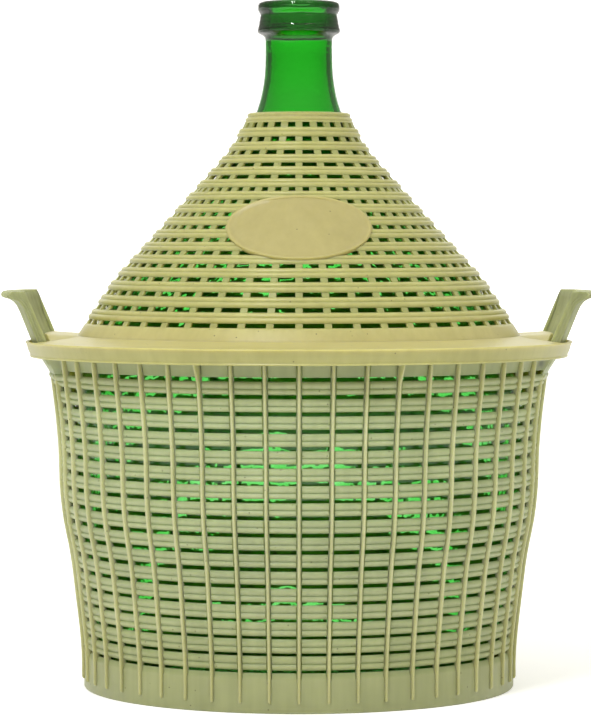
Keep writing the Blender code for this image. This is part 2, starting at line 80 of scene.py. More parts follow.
BAND_STEPS = (0, 0.06, 0.2, 0.35, 0.49, GROOVE, 0.63, 0.73, 0.84, 0.95)  # places across a band
BAND_SHADE_AND_DIRT = (1.0, 0.85, 0.45, 0.1, 0.3, 0.9, 0.5, 0.0, 0.15, 0.6)  # the share of painted shade and dirt there
RIB_HALF = 0.98
RIB_PROUD = 1.9
RIB_FOOT = 6.3
RIB_SECTION = (  # (across, out), as shares of RIB_HALF and of the rib's depth
    (-1.1, 0), (-1.0, 0.6), (-0.85, 0.88), (-0.4, 1.0), (0.4, 1.0), (0.85, 0.88), (1.0, 0.6),
    (1.1, 0),
)
FLARED_RIB_TOP = 216.0  # under the handles the ribs end on the flare
GUSSET_ANGLES = (-112.5, -67.5, 67.5, 112.5)
GUSSET_FOOT = 213.6
GUSSET_SLOPE = 0.75

# Rim, handles and the flare of the wall under each handle
RIM_INSIDE = 168.4
RIM_RADIUS = 181.6
RIM_HEIGHT = 236.6  # at the wall
RIM_SLOPE = 0.113  # how far the rim and the flange fall for each millimetre outwards
RIM_WALL_RADIUS = 171.5
RIM_THICKNESS = 2.2
HANDLE_HALF = 16.3
HANDLE_RADIUS = 183.1  # outer face at the rim
HANDLE_LEAN = 0.4  # how far the handle leans out for each millimetre upwards
HANDLE_DEPTHS = (6.9, 5.6)  # from the outer face in to the end flanges' inner edge, low and high
HANDLE_WALL = 4.6
HANDLE_FOOT = 233.6
HANDLE_TOP = 272.0
GRIP_LINE = (  # (radius, height) round the grip from the outer face over the top to the inner one
    (193.6, 262.0), (195.9, 264.8), (198.9, 266.6), (201.6, 267.3), (203.3, 267.8), (204.2, 268.9),
    (204.2, 270.2), (203.6, 271.3), (202.3, 271.9), (200.8, 272.0), (196.0, 272.0), (191.6, 272.0),
    (191.4, 271.4), (190.7, 270.0), (189.9, 267.8), (189.6, 266.9), (189.5, 266.0), (189.0, 264.6),
)
GRIP_MIDDLE = (194.3, 268.6)  # radius and height
HANDLE_EDGE_LINE = (  # (height, radius) up the outer edge of a handle's end flange
    (HANDLE_FOOT, 181.9), (240, 184.5), (250, 188.5), (258, 191.7), (262, 193.7), (264.8, 196.1),
    (266.6, 199.2), (268.4, 203.2), (269.4, 204.1), (270.6, 203.9), (HANDLE_TOP, 201.5),
)
FLUTES = 3.5  # shallow upright flutes across the end of a handle
FLARE_FOOT = 208.0
FLARE_SLOPE = 0.40

# Cover: the cone as (height, radius) points from the foot up
CONE_LINE = (
    (240.9, 152.4), (262, 138.8), (282.7, 124.4), (299.2, 109.5), (315.7, 94.4), (332.2, 79.7),
    (348.8, 64.9), (365.4, 50.3), (373.6, 44.3), (381.9, 40.0), (388.8, 36.9), (394.0, 34.6),
)
COVER_WALL = 2.2
RING_WALL = 2.4  # the slotted part is a little thicker
CONE_ROWS = 16
CONE_ROW_PLACE = (9.8, 10.9, 0.037)  # down the slope: first row, step, and the step's growth
CONE_SLOT = 3.8
SPOKES = 48
SINGLE_ROWS = 5  # upper rows, which have every second spoke only
SPOKE_HALF = 2.4
RING_DEPTH = 1.5
RING_RAISE = 0.9  # how far the rings stand out of the cone's line
RING_STEPS = (0, 0.07, 0.2, 0.33, 0.44, 0.5, 0.56, 0.67, 0.8, 0.93)  # places across a ring
RING_SHADE_AND_DIRT = 0.8  # share of painted shade and dirt where a ring is lowest
# share of painted shade and dirt beside the cone's slots
CONE_SLOT_SHADE_AND_DIRT = 0.7
COLLAR_STEPS = (0, 0.4, 1.4, 2.4, 3.0, 3.4, 4.0, 5.2, 6.4, 7.2)  # places down the collar
COLLAR_BEAD = 3.2  # from one of the collar's grooves to the next
COVER_GAP = 0.3  # between the rim and the cover that lies on it
SKIRT_FOOT = (183.9, 227.1)  # radius and height
SLOT_IN, SLOT_OUT = 175.0, 185.4  # inner and outer radius of the slots for the handles
SLOT_HALF = 16.7
LIP_LINE = (  # (radius, height) over the raised bed beside a handle's slot
    (151.5, 241.2), (154, 241.9), (160, 242.3), (168, 242.7), (173.6, 243.1), (174.4, 242.8),
    (174.8, 242.0),
)

PLATE_HALF = (50.0, 28.5)
PLATE_MIDDLE = 101.5  # along the slope from the collar's top
PLATE_LINE = (  # (share of the way from the middle to the edge, distance out of the cone's line)
    (0, 1.7), (0.3, 1.7), (0.6, 1.7), (0.85, 1.7), (0.925, 1.7), (0.945, 2.25), (0.965, 2.4),
    (0.985, 2.25), (1.0, 1.5), (1.0, -1.2),
)
PLATE_COVERS = 0.96  # share of the plate behind which the cone has no openings
CELL_REACH = 7.5  # added to the distance of a cell's middle, for its far end

# Bottle
BOTTLE_TOP = 470.0
FINISH_LINE = (  # (radius, height) from the lip down
    (21.0, 469.6), (23.5, 470.0), (26.2, 469.7), (27.7, 468.7), (28.2, 467.2), (28.2, 464.8),
    (27.8, 463.2), (26.9, 462.1), (26.5, 460.9), (26.7, 459.6), (27.7, 453.6), (28.4, 451.0),
    (28.5, 449.8), (28.1, 448.6), (26.9, 447.8), (24.9, 446.8), (23.6, 445.6), (23.1, 444.0),
)
NECK_LINE = (  # (height, radius) from the shoulder up
    (366, 44.5), (376, 37.0), (384, 33.2), (394, 29.4), (408, 25.4), (420, 23.6), (432, 23.1),
    (445, 23.1),
)
BODY_LINE = (  # (radius, height) from the shoulder down
    (137.8, 252), (143.9, 240), (148.6, 228), (152.4, 215), (155.0, 202), (156.6, 188),
    (157.0, 172), (156.6, 150), (155.2, 130), (152.3, 110), (148.8, 90), (145.9, 70), (143.3, 50),
    (141.9, 34),
)
MOUTH_LINE = ((20.0, 464), (20.1, 467.5), (20.4, 469.0))  # (radius, height) up to the lip
BORE_RADIUS = 20.0
BODY_TOP = 438  # the finish with its bore begins above
GLASS_WALLS = (1.4, 3.8)  # the blown body and the neck
WALL_CHANGE = (330, 400)  # between these heights the one grows into the other
GLASS_SEAT = 3.3  # the height at which the bottle stands, just clear of the tub's floor
HEEL_RADIUS = 28.2
HEEL_MIDDLE = 113.6
PUNT_RISE = 12
BODY_WAVES = 26

# Materials, with the sizes of their patterns
BLOTCH = 40.0
FLOW = (6.0, 6.0, 70.0)  # flow marks: across in X and Y, and up
SPECK_SPACING = 8.0
SPECK_EDGE = (0.04, 0.07)  # a speck's radius where it starts to fade and where it ends, in spacings
SPECK_COLOUR = "#4A4326"
PIT = 1.2
# colour multiplied in by the shade_and_dirt share: painted shade in the hollows and beside the
# slots, with some dirt
SHADE_AND_DIRT_TINT = (0.72, 0.80, 0.68, 1)
LIGHT_DEPTH = 6.0  # how far the light goes into the plastic
RIPPLE = 14.0  # from one wave of the glass to the next

# Tints of the plastic by height, each as (height, colour). The basket's paint shade at the foot
# and under the cover's skirt, and are lighter high on the wall. The cover's are lighter over the
# flange than on the skirt and the cone.
BASKET_SHADE_TINTS = (
    (20, (0.80, 0.78, 0.68)), (60, (0.92, 0.91, 0.90)), (90, (0.91, 0.91, 0.93)),
    (190, (0.97, 0.99, 1.0)), (222, (0.96, 0.94, 0.88)), (245, (0.78, 0.78, 0.66)),
)
COVER_TINTS = (
    (234, (0.90, 0.92, 0.92)), (237, (1.02, 0.98, 1.0)), (243, (1.02, 0.98, 1.0)),
    (262, (0.9, 0.93, 0.93)), (400, (0.91, 0.94, 0.94)),
)
NO_TINTS = ((0, (1.0, 1.0, 1.0)), (400, (1.0, 1.0, 1.0)))

# Camera, as fitted to the photograph: a little left of the object's middle
CAMERA_DISTANCE = 2315.0
CAMERA_HEIGHT = 310.3
CAMERA_SIDE = -2.3
CAMERA_PITCH = 2.0915
FOCAL_PIXELS = 3363.0
PHOTO_HEIGHT = 715.0  # pixels
SENSOR = 36.0

# Studio
FLOOR_REACH = 60000.0  # to all sides, so that a view from the side sees no edge
BACKDROP_HALF = 4000.0
BACKDROP_BEND = (7000.0, 1000.0)  # where the paper starts to bend up, and the bend's radius
BACKDROP_TOP = 4500.0
FLOOR_GLOW = 0.4
BACKDROP_GLOW = 0.7
WALL_LIGHT = 0.36
CEILING_LIGHT = 1.0
ROOM_COLOUR = (1.0, 0.97, 0.88)
LAMP_AIM = (0, 0, 0.22)  # in metres, as are the lamps' places


# Surfaces

def smooth_line(points, at):
    """The second coordinate at each value of the first, on a smooth line through a few points.

    Between two neighbours it is the cubic that has their values and their slopes, and a point's
    slope is the weighted mean of the slopes on both sides of it.
    """
    x, y = np.array(points, float).T
    slope = np.gradient(y, x)
    at = np.asarray(at, float)
    i = np.clip(np.searchsorted(x, at) - 1, 0, len(x) - 2)
    step = x[i + 1] - x[i]
    t = (at - x[i]) / step
    return (
        (2 * t**3 - 3 * t**2 + 1) * y[i] + (t**3 - 2 * t**2 + t) * step * slope[i]
        + (3 * t**2 - 2 * t**3) * y[i + 1] + (t**3 - t**2) * step * slope[i + 1]
    )


def ease(low, high, at):
    """0 below low, 1 above high, and 3t^2 - 2t^3 in between."""
    t = np.clip((np.asarray(at, float) - low) / (high - low), 0, 1)
    return t * t * (3 - 2 * t)


def round_about(radius, angle, height):
    """Points at a radius and an angle in degrees round Z, and a height."""
    radius, angle, height = np.broadcast_arrays(radius, np.radians(angle), height)
    return np.stack([radius * np.cos(angle), radius * np.sin(angle), height], -1)


def cells(index, keep=None):
    """The four corners of each cell of a grid of point numbers, of the kept cells only."""
    corners = np.stack([index[:-1, :-1], index[1:, :-1], index[1:, 1:], index[:-1, 1:]], -1)
    return corners.reshape(-1, 4) if keep is None else corners[keep]


def lattice(outer, inner, steps, solid):
    """The wall between two closed bands of points, with openings where solid is False.

    outer and inner are grids of levels by columns, and the columns go all the way round. Each
    interval between two inner levels is divided into steps outer ones, one where it has openings.
    The wall's two faces are the grids' solid cells, and an edge wall joins the grids wherever a
    solid cell meets an opening or the end.
    """
    start = np.concatenate([[0], np.cumsum(steps)])
    far = np.arange(outer[..., 0].size).reshape(outer.shape[:2])
    near = far.size + np.arange(inner[..., 0].size).reshape(inner.shape[:2])
    far, near = (np.hstack([grid, grid[:, :1]]) for grid in (far, near))
    edge = far[start]
    none = np.zeros((1, solid.shape[1]), bool)
    above, below = np.vstack([none, solid]), np.vstack([solid, none])
    left, right = np.roll(solid, 1, 1), solid
    level = np.stack([edge[:, :-1], edge[:, 1:], near[:, 1:], near[:, :-1]], -1)
    upright = np.stack([edge[:-1, :-1], edge[1:, :-1], near[1:, :-1], near[:-1, :-1]], -1)
    faces = np.concatenate([
        cells(far, np.repeat(solid, steps, 0)),
        cells(near, solid)[:, ::-1],
        level[below & ~above],
        level[above & ~below][:, ::-1],
        upright[left & ~right],
        upright[right & ~left][:, ::-1],
    ])
    return np.concatenate([outer.reshape(-1, 3), inner.reshape(-1, 3)]), faces


def tube(rings, hubs=None):
    """A skin over rings of points, each ring closed, with both ends drawn together to a point.

    The two points are the end rings' means, or the hubs for a ring that its mean lies outside of.
    """
    ends = rings[[0, -1]].mean(1, keepdims=True) if hubs is None else hubs[:, None]
    count = rings.shape[1]
    first = np.repeat(ends[:1], count, 1)
    last = np.repeat(ends[-1:], count, 1)
    return closed_grid(np.concatenate([first, rings, last]))


def closed_grid(points, loop=False):
    """The faces over a grid whose columns go all the way round, and its rows too with loop."""
    index = np.arange(points[..., 0].size).reshape(points.shape[:2])
    index = np.hstack([index, index[:, :1]])
    if loop:
        index = np.vstack([index, index[:1]])
    return points.reshape(-1, 3), cells(index)


def turned(line, sides=192):
    """A line of (radius, height) points turned round Z. It runs down the outside."""
    line = np.array(line, float)
    angles = np.arange(sides) * 360 / sides
    return closed_grid(round_about(line[:, :1], angles[None], line[:, 1:]))


def mirrored(shape):
    """The same shape on the other side, with X turned round and its faces put right again."""
    points, faces = shape
    return points * (-1, 1, 1), faces[:, ::-1]


def joined(*shapes):
    """Several shapes as one."""
    starts = np.cumsum([0] + [len(points) for points, _ in shapes[:-1]])
    return (
        np.concatenate([points for points, _ in shapes]),
        np.concatenate([faces + start for (_, faces), start in zip(shapes, starts)]),
    )


def make(name, shape, body, material, node=None):
    """The object of one piece: points that meet are merged, and it rides on its body.

    A shape may have a third part: each point's share of painted shade and dirt, from 0 to 1.
    """
    points, faces, *shade_and_dirt = shape
    mesh = bpy.data.meshes.new(name)
    mesh.from_pydata((points * MM).tolist(), [], faces.tolist())
    if shade_and_dirt:
        mesh.attributes.new("shade_and_dirt", "FLOAT", "POINT").data.foreach_set("value", shade_and_dirt[0])
    work = bmesh.new()
    work.from_mesh(mesh)
    bmesh.ops.remove_doubles(work, verts=work.verts, dist=1e-7)
    bmesh.ops.delete(work, geom=[v for v in work.verts if not v.link_faces], context="VERTS")
    work.to_mesh(mesh)
    work.free()
    mesh.shade_smooth()
    mesh.set_sharp_from_angle(angle=np.radians(SHARP_ANGLE))
    mesh.materials.append(material)
    piece = bpy.data.objects.new(name, mesh)
    bpy.context.scene.collection.objects.link(piece)
    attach(piece, body)
    if node:
        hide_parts(node)


# Lower basket

def handle_side(angle):
    """Degrees from the nearer of the two handles' middles."""
    return np.abs((np.asarray(angle, float) + 90) % 180 - 90)


def flare(angle, height):
    """How far the wall stands out under a handle, more towards the rim."""
    out = np.clip((height - FLARE_FOOT) * FLARE_SLOPE, 0, None)
    return out * (1 - ease(HANDLE_HALF - 0.8, HANDLE_HALF + 0.9, handle_side(angle)))


def band_relief(t):
    """The height of a band at t from 0 to 1 across it: two soft beads with a groove between.

    Each bead is 1 - |2u - 1|^2.6 of its height, with u from 0 to 1 across the bead. The groove is
    three quarters as deep as the edges.
    """
    u = np.interp(t, (0, GROOVE, 1), (0, 1, 2))
    depth = np.where(np.abs(u - 1) < 0.5, 0.75, 1.0)
    return -BEAD_DEPTH * depth * np.abs(2 * (u % 1) - 1) ** 2.6


def tub_wall():
    """The slotted wall: levels down the wall by columns round it.

    The radius is the tub's line, less the relief of the bands, which fades to a plain recessed
    strip behind each rib. Under the handles the flare is added. The third part is each point's
    share of painted shade, with some dirt, which lies in the grooves, at the slots and on the
    strips.
    """
    period = 360 / RIBS
    offsets = [STRIP_HALF, BEAD_START, *BEAD_COLUMNS, period - BEAD_START, period - STRIP_HALF]
    angles = (-90 + np.arange(RIBS)[:, None] * period + np.array(offsets)).ravel()
    banded = np.tile([False] + [True] * 4 + [False], RIBS)
    slot_cell = np.tile([True] * 5 + [False], RIBS)
    closed = np.ones(len(angles), bool)
    flared = handle_side(angles + 0.5) < HANDLE_HALF

    across = np.array(BAND_STEPS)
    middles = np.linspace(TUB_FIRST_ROW, TUB_LAST_ROW, TUB_ROWS)
    halves = np.interp(ease(*SLOT_CHANGE, middles), (0, 1), TUB_SLOTS) / 2
    outside = [(TUB_TOP, TOP_BAND_RELIEF, 0), (TOP_BAND_FOOT, TOP_BAND_RELIEF, 0)]
    inner_levels, steps, solid = [TUB_TOP], [len(outside)], [closed]
    for row, (middle, half) in enumerate(zip(middles, halves)):
        top, low = middle + half, middle - half
        outside += [(top, -BEAD_DEPTH, SLOT_SHADE_AND_DIRT)]
        inner_levels += [top, low]
        solid += [~slot_cell | (flared & (row == 0)), closed]
        steps += [1]
        if row + 1 < TUB_ROWS:
            below = middles[row + 1] + halves[row + 1]
            outside += zip(low + (below - low) * across, band_relief(across), BAND_SHADE_AND_DIRT)
            steps += [len(across)]
    outside += [(low, -BEAD_DEPTH, SLOT_SHADE_AND_DIRT), *PLINTH_LINE]
    inner_levels += [0.0]
    steps += [len(PLINTH_LINE)]
    levels, relief, shade_and_dirt = np.array(outside).T[..., None]
    inner_levels = np.array(inner_levels)[:, None]

    above_plinth = ease(PLINTH_TOP - 2, PLINTH_TOP, levels)
    shape = np.where(banded, relief, -BEAD_DEPTH)
    shape = shape * above_plinth + relief * (1 - above_plinth)
    outer = smooth_line(TUB_LINE, levels) + shape + flare(angles, levels)
    inner = smooth_line(TUB_LINE, inner_levels) - TUB_WALL + flare(angles, inner_levels)
    points, faces = lattice(
        round_about(outer, angles, levels), round_about(inner, angles, inner_levels),
        steps, np.array(solid),
    )
    # each outer point's share of painted shade and dirt
    share = np.zeros(len(points))
    share[:outer.size] = np.where(banded, shade_and_dirt, STRIP_SHADE_AND_DIRT * above_plinth).ravel()
    return points, faces, share


def tub_ribs():
    """Upright ribs with rounded fronts. Four of them widen into gussets that carry the rim.

    A rib's section is half an oval on straight sides. Its back lies in the wall and its front
    follows the wall's line at a distance, or the gusset's slope where that is further out.
    """
    across, out = np.array(RIB_SECTION).T
    shapes = []
    for rib in range(RIBS):
        angle = -90 + rib * 360 / RIBS
        on_flare = handle_side(angle) < HANDLE_HALF
        top = FLARED_RIB_TOP if on_flare else TUB_TOP - 0.5
        levels = np.concatenate([
            [top], np.linspace(top - 1, RIB_FOOT + 2, 26), RIB_FOOT + np.array([0.9, 0.2]),
        ])
        line = smooth_line(TUB_LINE, levels)
        back = line - TUB_WALL + 0.8
        front = line + RIB_PROUD * np.sqrt(np.clip((levels - RIB_FOOT) / 1.2, 0, 1))
        if np.min(np.abs((angle + 180) % 360 - 180 - np.array(GUSSET_ANGLES))) < 1:
            front = np.maximum(front, RIM_INSIDE + GUSSET_SLOPE * (levels - GUSSET_FOOT))
            front = np.minimum(front, RIM_RADIUS - 0.6)
        radius = back[:, None] + (front - back)[:, None] * out
        turn = angle + np.degrees(RIB_HALF * across / radius)
        shapes.append(tube(round_about(radius, turn, levels[:, None])))
    return joined(*shapes)


def rim_top(radius):
    """The height of the rim's sloping top."""
    return RIM_HEIGHT - (radius - RIM_WALL_RADIUS) * RIM_SLOPE


def tub_rim():
    """The ring that the cover rests on, with rounded edges."""
    inside, outside = RIM_INSIDE, RIM_RADIUS
    inner_top, outer_top = rim_top(inside), rim_top(outside)
    line = np.array([
        (inside + 0.4, inner_top), (outside - 0.6, outer_top), (outside, outer_top - 0.6),
        (outside, outer_top - RIM_THICKNESS + 0.6), (outside - 0.6, outer_top - RIM_THICKNESS),
        (inside + 0.4, inner_top - RIM_THICKNESS), (inside, inner_top - RIM_THICKNESS + 0.4),
        (inside, inner_top - 0.4),
    ])
    return closed_grid(round_about(line[:, :1], ROUND, line[:, 1:]), loop=True)


def tub_floor():
    """The closed floor, with a shallow ring pressed into its underside."""
    return turned([
        (0, TUB_FLOOR), (90, TUB_FLOOR), (FLOOR_EDGE, TUB_FLOOR), (FLOOR_EDGE, 0.1),
        (FLOOR_EDGE - 8, 0.1), (FLOOR_EDGE - 10, 0.9), (60, 0.9), (0, 0.9),
    ])


def handle_outer(height):
    """The radius of a handle's outer face."""
    return HANDLE_RADIUS + HANDLE_LEAN * (np.asarray(height, float) - RIM_HEIGHT)


def handle_inner(height):
    """The radius of the inner edge of a handle's end flanges."""
    return handle_outer(height) - np.interp(height, (242, 270), HANDLE_DEPTHS)


def handle_wall():
    """A handle's leaning wall and the grip along its top: one section carried round the axis."""
    heights = np.array([HANDLE_FOOT, 240, 250, 258])
    outside = np.stack([handle_outer(heights), heights], -1)
    inside = outside[::-1] - (HANDLE_WALL, 0)
    section = np.concatenate([outside, GRIP_LINE, inside])
    reach = HANDLE_HALF - 0.4
    angles = np.linspace(-reach, reach, 29)
    rings = round_about(section[:, 0], angles[:, None], section[:, 1])
    radius, height = GRIP_MIDDLE
    return tube(rings[:, ::-1], round_about(radius, angles[[0, -1]], height))


def handle_end(sign):
    """The flange that closes one end of a handle, from the rim up to the grip.

    Its section is a thin rounded box between the handle's inner edge and its outer face.
    """
    levels = np.array([
        HANDLE_FOOT, 238, 244, 250, 256, 260, 263, 265, 266.8, 268.4, 270.2, 271.4, HANDLE_TOP,
    ])
    outline = smooth_line(HANDLE_EDGE_LINE, levels)
    inner = handle_inner(levels) + 1.2 * ease(270, HANDLE_TOP, levels)
    front = np.linspace(0.04, 0.96, 22)
    fluted = 0.15 - 0.15 * np.cos(2 * np.pi * FLUTES * front) * ease(0.2, 0.3, front)
    across = np.concatenate([[0.0], front, [1.0, 1.0, 0.96, 0.5, 0.04, 0.0]])
    depth = np.concatenate([[0.5], fluted, [0.8, 2.5, 3.0, 3.0, 3.0, 2.5]])
    radius = inner[:, None] + (outline - inner)[:, None] * across
    turn = HANDLE_HALF - np.degrees(depth / radius)
    rings = round_about(radius, sign * turn, levels[:, None])
    return tube(rings if sign > 0 else rings[:, ::-1])


def handle():
    """One handle on +X."""
    return joined(handle_wall(), handle_end(1), handle_end(-1))


# Upper cover

CONE_STEPS = np.linspace(CONE_LINE[-1][0], CONE_LINE[0][0], 400)
CONE_RADII = smooth_line(CONE_LINE, CONE_STEPS)
CONE_LENGTHS = np.concatenate([[0], np.cumsum(np.hypot(np.diff(CONE_RADII), np.diff(CONE_STEPS)))])


def cone_point(along, out=0.0):
    """Radius and height at a distance down the slope from the collar's top, and out from it."""
    along = np.asarray(along, float)
    radius = np.interp(along, CONE_LENGTHS, CONE_RADII)
    height = np.interp(along, CONE_LENGTHS, CONE_STEPS)
    fall = np.interp(along, CONE_LENGTHS, np.gradient(CONE_STEPS, CONE_LENGTHS))
    widen = np.interp(along, CONE_LENGTHS, np.gradient(CONE_RADII, CONE_LENGTHS))
    return radius - out * fall, height + out * widen


def ring_relief(t):
    """The height of a ring between two rows of slots at t from 0 to 1 down it: two low beads.

    Each is 1 - |2u - 1|^2.4 of its height, and the groove is half as deep as the edges.
    """
    u = (2 * t) % 1
    depth = np.where(np.abs(t - 0.5) < 0.25, 0.5, 1.0)
    return -RING_DEPTH * depth * np.abs(2 * u - 1) ** 2.4


def cover_cone():
    """The slotted cone: levels down the slope by columns round it.

    Spokes keep their width in millimetres, so the columns draw together towards the top. Cells
    that are wholly behind the oval plate stay closed. The slots run level into the wall: an inner
    edge lies up the slope from its outer one by the wall's thickness times the slope's dr/dz. The
    third part is the share of painted shade, with some dirt, beside the slots and between a
    ring's beads.
    """
    across = np.array(RING_STEPS)
    collar = np.array(COLLAR_STEPS)
    first, step, growth = CONE_ROW_PLACE
    rows = first + step * np.arange(CONE_ROWS) + growth * np.arange(CONE_ROWS) ** 2
    foot = CONE_LENGTHS[-1]
    beads = 0.2 - np.abs(np.cos(np.pi * collar / COLLAR_BEAD)) ** 3
    outside = list(zip(collar, beads, np.zeros(len(collar))))
    inner_along, steps = [0.0], [len(collar)]
    for row, middle in enumerate(rows):
        top, low = middle - CONE_SLOT / 2, middle + CONE_SLOT / 2
        outside += [(top, RING_RAISE - RING_DEPTH, CONE_SLOT_SHADE_AND_DIRT)]
        inner_along += [top, low]
        steps += [1]
        if row + 1 < CONE_ROWS:
            below = rows[row + 1] - CONE_SLOT / 2
            ring = ring_relief(across)
            places = low + (below - low) * across
            outside += zip(places, RING_RAISE + ring, -RING_SHADE_AND_DIRT * ring / RING_DEPTH)
            steps += [len(across)]
    # the hem at the cone's foot, as (along, relief, share of painted shade and dirt)
    hem = [
        (low, -0.5, 0.6), (low + 0.6, -0.1, 0.2), (low + 2.0, 0, 0), (foot - 1.5, 0, 0),
        (foot + 1e-6, 0, 0),
    ]
    outside += hem
    inner_along += [foot]
    steps += [len(hem) - 1]
    along, relief, shade_and_dirt = np.array(outside).T
    inner_along = np.array(inner_along)
    flatness = -np.gradient(CONE_RADII, CONE_STEPS)
    inner_along[1:-1] -= RING_WALL * np.interp(inner_along[1:-1], CONE_LENGTHS, flatness)

    period = 360 / SPOKES
    middle_angles = -90 + np.arange(SPOKES) * period

    def columns(distance):
        radius, _ = cone_point(distance)
        half = np.degrees(SPOKE_HALF / radius)[:, None]
        offsets = half + (period - 2 * half) * np.array([0, 1 / 3, 2 / 3, 1])
        return (middle_angles[None, :, None] + offsets[:, None, :]).reshape(len(distance), -1)

    angles, inner_angles = columns(along), columns(inner_along)
    between_spokes = np.tile([True, True, True, False], SPOKES)
    odd_spoke = np.repeat(np.arange(SPOKES) % 2 == 0, 4) & ~between_spokes
    from_front = (middle_angles.repeat(4) + 90 + 180) % 360 - 180 + period / 2
    closed = np.ones(4 * SPOKES, bool)
    solid = [closed]
    for row, (top, low) in enumerate(zip(inner_along[1:-1:2], inner_along[2::2])):
        opening = between_spokes | (odd_spoke & (row < SINGLE_ROWS))
        middle = (top + low) / 2
        radius, _ = cone_point(middle)
        reach = np.radians(np.abs(from_front)) * radius + CELL_REACH
        oval = np.hypot(reach / PLATE_HALF[0], (middle - PLATE_MIDDLE) / PLATE_HALF[1])
        solid += [~opening | (oval < PLATE_COVERS), closed]

    outer_radius, outer_height = cone_point(along, relief)
    inner_radius, inner_height = cone_point(inner_along, -RING_WALL)
    points, faces = lattice(
        round_about(outer_radius[:, None], angles, outer_height[:, None]),
        round_about(inner_radius[:, None], inner_angles, inner_height[:, None]),
        steps, np.array(solid),
    )
    # each outer point's share of painted shade and dirt
    share = np.zeros(len(points))
    share[:angles.size] = np.repeat(shade_and_dirt, angles.shape[1])
    return points, faces, share


def flange_top(radius):
    """The height of the flange's top. The flange lies on the rim."""
    return rim_top(radius) + COVER_GAP + COVER_WALL


def cover_flange():
    """The flange and skirt, with a thin bead along both edges and a slot for each handle.

    The levels run outwards over the flange and then down the skirt.
    """
    angles = -90 + ROUND
    for edge in (-SLOT_HALF, SLOT_HALF, 180 - SLOT_HALF, 180 + SLOT_HALF):
        nearest = np.argmin(np.abs((angles - edge + 180) % 360 - 180))
        angles[nearest] += (edge - angles[nearest] + 180) % 360 - 180
    skirt_radius, skirt_height = SKIRT_FOOT
    edge_top = flange_top(187.5)
    top = np.array([
        (151.6, flange_top(151.6) + 0.1), (158, flange_top(158)), (SLOT_IN, flange_top(SLOT_IN)),
        (SLOT_OUT, flange_top(SLOT_OUT)), (186.3, flange_top(186.3)),
        (187.0, flange_top(187) + 0.35), (187.5, edge_top + 0.25), (187.7, edge_top - 0.6),
        (187.1, edge_top - 1.2), (185.9, 232.0), (skirt_radius + 0.45, 228.5),
        (skirt_radius + 0.75, 227.9), (skirt_radius + 0.5, skirt_height),
        (skirt_radius - 0.4, skirt_height - 0.1),
    ])
    under = np.array([
        (151.0, flange_top(151.0) - COVER_WALL), (SLOT_IN, flange_top(SLOT_IN) - COVER_WALL),
        (SLOT_OUT, flange_top(SLOT_OUT) - COVER_WALL), (skirt_radius - COVER_WALL, skirt_height),
    ])
    steps = [2, 1, 10]
    solid = np.ones((3, len(angles)), bool)
    solid[1] = handle_side(angles + 0.75) > SLOT_HALF
    return lattice(
        round_about(top[:, :1], angles, top[:, 1:]),
        round_about(under[:, :1], angles, under[:, 1:]),
        steps, solid,
    )


def slot_lip():
    """The raised bed between the cone's foot and a handle's slot, which falls off at both ends."""
    radius, height = np.array([LIP_LINE[0], *LIP_LINE, LIP_LINE[-1]]).T
    floor = flange_top(LIP_LINE[-1][0]) - 1.0
    height[[0, -1]] = floor
    reach = SLOT_HALF + 2.5
    angles = np.linspace(-reach, reach, 41)[:, None]
    rise = 1 - ease(SLOT_HALF - 6, reach, np.abs(angles))
    return tube(round_about(radius, angles, floor + (height - floor) * rise))


def oval_plate():
    """The plain oval plate, bent with the cone, with a thin raised edge.

    One parameter runs round the oval and the other from its middle to its edge.
    """
    sides = 120
    share, out = np.array(PLATE_LINE).T[..., None]
    turn = np.radians(np.arange(sides) * 360 / sides)
    along = PLATE_MIDDLE - PLATE_HALF[1] * share * np.sin(turn)
    radius, height = cone_point(along, out)
    middle_radius, _ = cone_point(along)
    angle = -90 + np.degrees(PLATE_HALF[0] * share * np.cos(turn) / middle_radius)
    points, faces = closed_grid(round_about(radius, angle, height))
    back = round_about(radius[-1], angle[-1], height[-1]).mean(0)
    ring = np.arange(len(points) - sides, len(points))
    middle = np.full(sides, len(points))
    fan = np.stack([ring, middle, middle, np.roll(ring, -1)], -1)
    return np.vstack([points, back]), np.vstack([faces, fan])


# Bottle

def bottle_line():
    """The outside of the glass from the lip down to the ring it stands on."""
    finish = np.array(FINISH_LINE)
    run = np.concatenate([[0], np.cumsum(np.hypot(*np.diff(finish, axis=0).T))])
    fine = np.arange(0, run[-1], 0.45)
    finish = np.stack([np.interp(fine, run, finish[:, i]) for i in (0, 1)], -1)
    heights = np.linspace(442, 371, 22)
    neck = np.stack([smooth_line(NECK_LINE, heights), heights], -1)
    shoulder = np.stack(cone_point(np.linspace(30, 160, 16), -COVER_WALL - 3.5), -1)
    turn = np.radians(np.arange(1, 10) * 10.0)
    heel = np.stack([
        HEEL_MIDDLE + HEEL_RADIUS * np.cos(turn),
        GLASS_SEAT + HEEL_RADIUS - HEEL_RADIUS * np.sin(turn),
    ], -1)
    return np.concatenate([finish, neck, shoulder, BODY_LINE, heel])


def offset_line(line, distance):
    """A line moved by a distance, square to its direction at each point.

    It moves to its right, which is into the wall for a line that runs down the outside.
    """
    way = np.gradient(line, axis=0)
    way /= np.linalg.norm(way, axis=1, keepdims=True)
    return line + distance * np.stack([way[:, 1], -way[:, 0]], -1)


def waves(radius, angle, height, seed):
    """A smooth uneven pattern, mostly between -1 and 1: a sum of sines round and up the bottle."""
    turn = np.radians(angle)
    chance = np.random.default_rng(seed)
    total = np.zeros(np.broadcast_shapes(angle.shape, height.shape))
    for _ in range(BODY_WAVES):
        round_waves = chance.integers(3, 55)
        rise = chance.normal(0, 2 * np.pi / 22)
        total += np.sin(round_waves * turn + rise * height + chance.uniform(0, 2 * np.pi))
    return total / BODY_WAVES ** 0.5 / 1.5 * np.clip(radius / 90, 0, 1) ** 2


